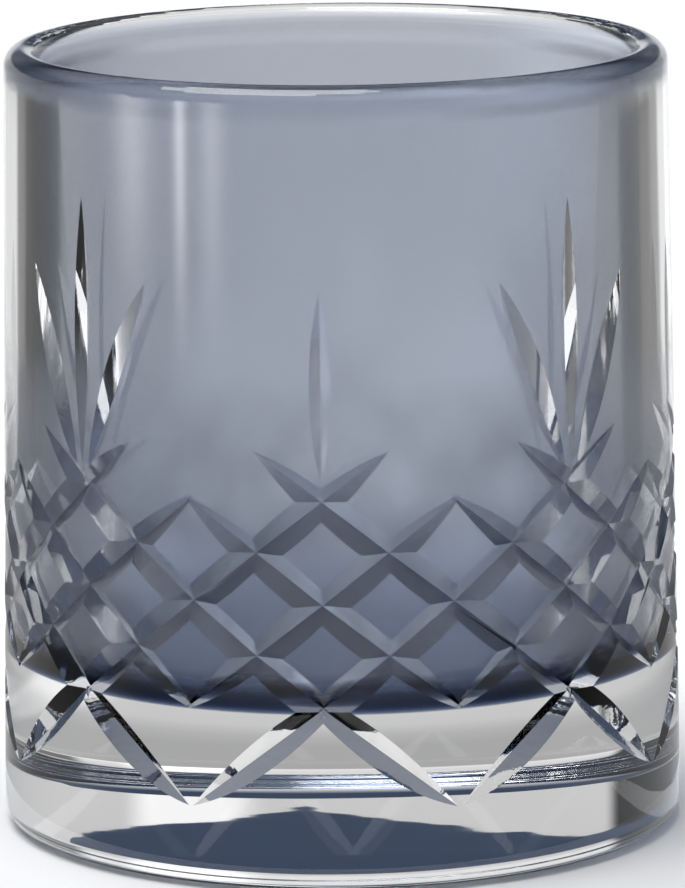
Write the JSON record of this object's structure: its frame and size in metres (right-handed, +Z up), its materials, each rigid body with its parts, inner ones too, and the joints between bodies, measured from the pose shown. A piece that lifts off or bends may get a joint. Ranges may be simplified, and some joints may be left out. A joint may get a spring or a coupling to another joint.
{
  "type": "whiskey tumbler",
  "caption": "Cut-glass whiskey tumbler: thick clear outer glass with diamond and fan cutting, heavy base, and a smoky-blue inner layer.",
  "frame": {"origin": "middle of the flat foot, on the surface that the tumbler stands on", "axes": "+Z up along the axis of the glass; one column of the cutting, with a short blade over it, faces -Y"},
  "size_m": [0.0829, 0.083, 0.095],
  "materials": {
    "clear_glass": "polished clear glass with bright cut facets",
    "tinted_glass": "polished smoky blue-grey glass"
  },
  "bodies": {
    "root": {"clear_body": "clear_glass", "tinted_lining": "tinted_glass"}
  },
  "joints": []
}
